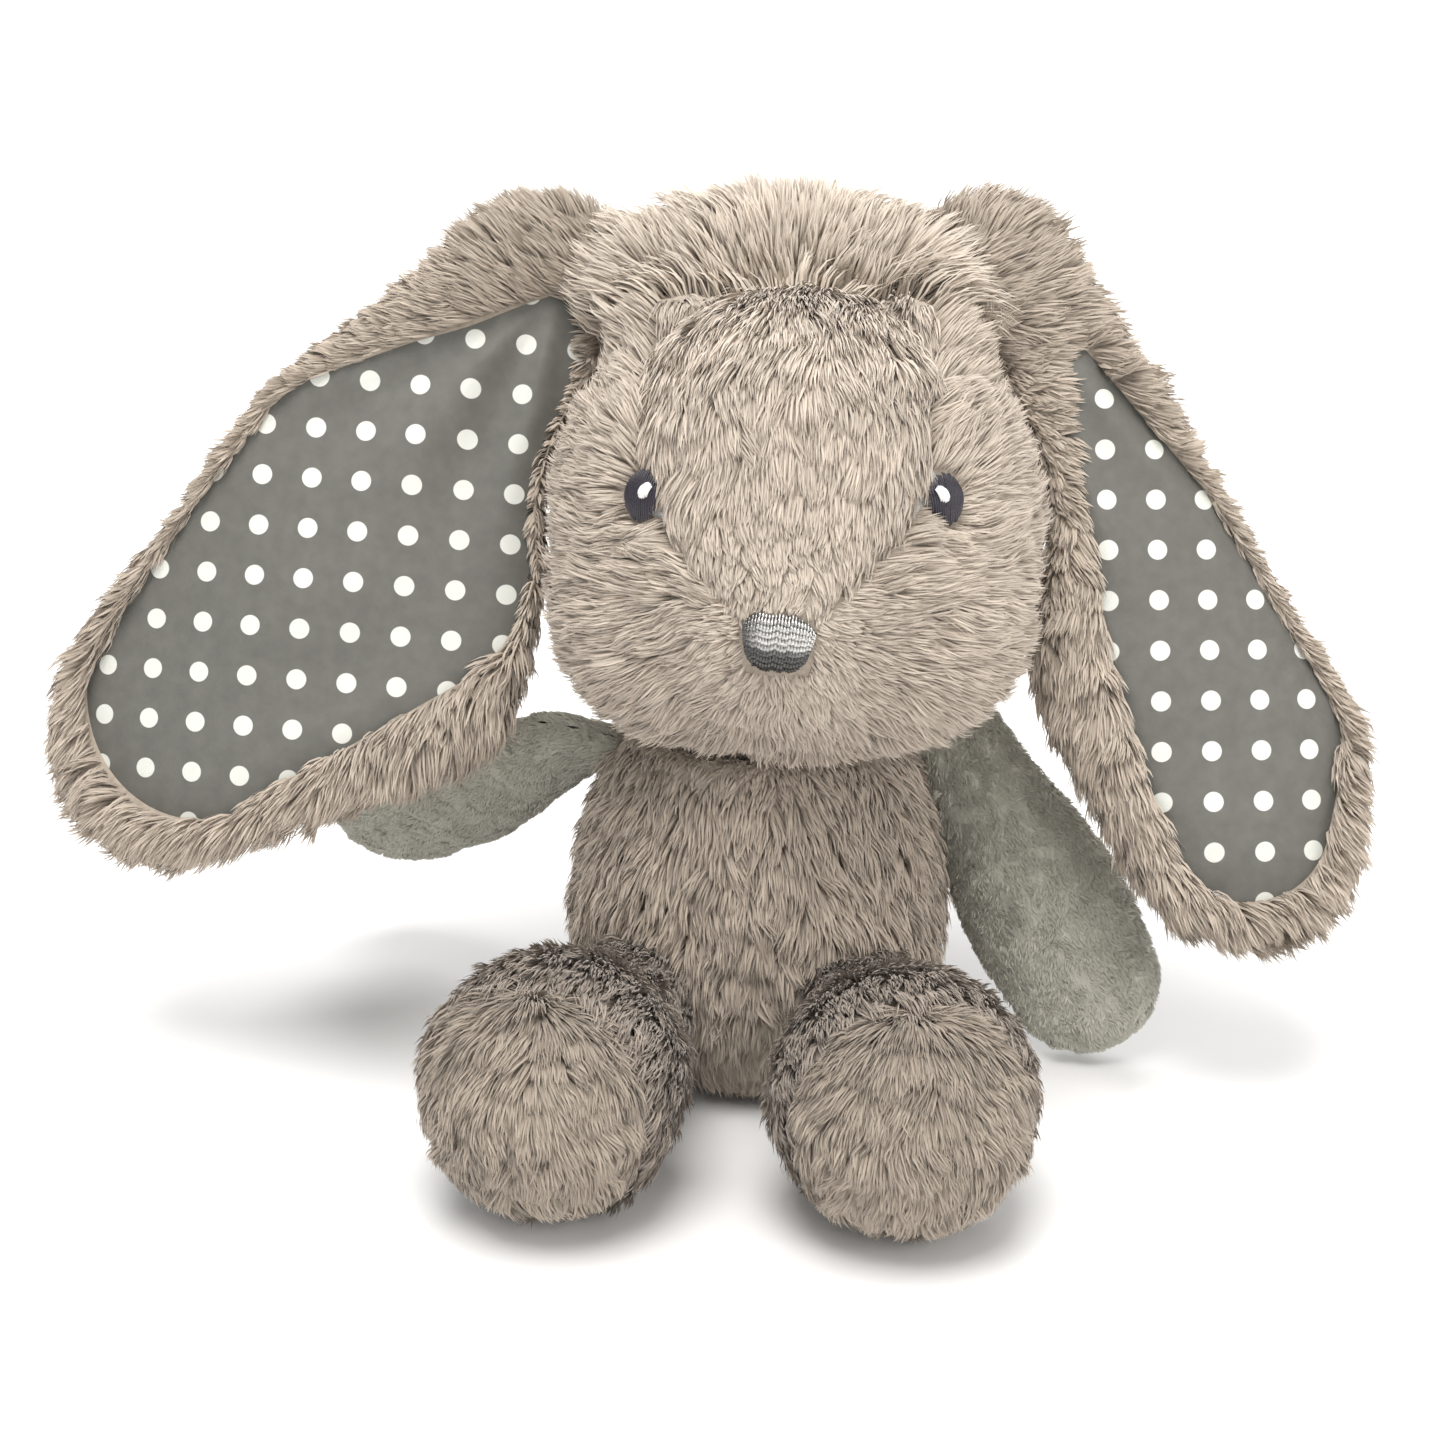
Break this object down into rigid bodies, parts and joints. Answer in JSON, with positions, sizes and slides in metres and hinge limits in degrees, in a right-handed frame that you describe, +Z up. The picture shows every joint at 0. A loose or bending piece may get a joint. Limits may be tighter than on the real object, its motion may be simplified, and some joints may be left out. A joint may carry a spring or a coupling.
{
  "type": "stuffed bunny rabbit",
  "caption": "Seated plush rabbit with a round head, long floppy ears lined with dotted cloth, smooth flat arms and round plush feet.",
  "frame": {"origin": "middle of the flat seat, on the table", "axes": "+Z up, -Y the way the face looks, +X to the rabbit's left"},
  "size_m": [0.288, 0.1693, 0.1915],
  "materials": {
    "plush": "long-pile taupe-grey plush",
    "plush_light": "long-pile plush, brushed down",
    "lining": "satin-like grey cloth with white dots",
    "minky": "short smooth-pile grey minky",
    "thread_dark": "dark embroidery thread",
    "thread_white": "white embroidery thread",
    "thread_silver": "silver metallic satin stitch",
    "filling": "polyester fibre filling",
    "beads": "small plastic beads"
  },
  "bodies": {
    "torso": {"torso_front": "plush", "torso_back": "plush", "seat_panel": "plush", "torso_stuffing": "filling", "bead_pouch": "minky", "bead_fill": "beads", "tail": "plush_light"},
    "neck": {"neck_stuffing": "filling"},
    "head": {"face_gusset": "plush_light", "cheek_left": "plush", "cheek_right": "plush", "head_back": "plush", "head_stuffing": "filling", "eye_left": "thread_dark", "eye_right": "thread_dark", "eye_glint_left": "thread_white", "eye_glint_right": "thread_white", "nose": "thread_silver"},
    "ear_left": {"ear_left_back": "plush", "ear_left_lining": "lining"},
    "ear_right": {"ear_right_back": "plush", "ear_right_lining": "lining"},
    "arm_left": {"arm_left_front": "minky", "arm_left_back": "minky", "arm_left_stuffing": "filling"},
    "arm_right": {"arm_right_front": "minky", "arm_right_back": "minky", "arm_right_stuffing": "filling"},
    "leg_left": {"leg_left_cover": "plush", "leg_left_sole": "plush_light", "leg_left_stuffing": "filling"},
    "leg_right": {"leg_right_cover": "plush", "leg_right_sole": "plush_light", "leg_right_stuffing": "filling"}
  },
  "joints": [
    {"name": "neck_turn", "type": "hinge", "parent": "torso", "child": "neck", "pos_m": [0.007, -0.002, 0.064], "axis": [0, 0, 1], "range_deg": [-10, 10], "stiffness_Nm_per_rad": 0.25},
    {"name": "head_nod", "type": "hinge", "parent": "neck", "child": "head", "pos_m": [0.007, -0.002, 0.095], "axis": [1, 0, 0], "range_deg": [-8, 8], "stiffness_Nm_per_rad": 0.6},
    {"name": "ear_left_swing", "type": "hinge", "parent": "head", "child": "ear_left", "pos_m": [0.0483, 0.01656, 0.17728], "axis": [0, -0.9272, 0.3746], "range_deg": [0, 50], "stiffness_Nm_per_rad": 0.1},
    {"name": "ear_right_swing", "type": "hinge", "parent": "head", "child": "ear_right", "pos_m": [-0.045, 0.01619, 0.17635], "axis": [0, 0.9272, -0.3746], "range_deg": [0, 25], "stiffness_Nm_per_rad": 0.12},
    {"name": "arm_left_raise", "type": "hinge", "parent": "torso", "child": "arm_left", "pos_m": [0.044, 0.006, 0.072], "axis": [0, -1, 0], "range_deg": [0, 35], "stiffness_Nm_per_rad": 0.05},
    {"name": "arm_right_raise", "type": "hinge", "parent": "torso", "child": "arm_right", "pos_m": [-0.044, 0.006, 0.071], "axis": [0, 1, 0], "range_deg": [-12, 30], "stiffness_Nm_per_rad": 0.05},
    {"name": "leg_left_splay", "type": "hinge", "parent": "torso", "child": "leg_left", "pos_m": [0.0215, -0.03, 0.025], "axis": [0, 0, 1], "range_deg": [-4, 15], "stiffness_Nm_per_rad": 0.05},
    {"name": "leg_right_splay", "type": "hinge", "parent": "torso", "child": "leg_right", "pos_m": [-0.026, -0.026, 0.025], "axis": [0, 0, -1], "range_deg": [-4, 15], "stiffness_Nm_per_rad": 0.05}
  ]
}
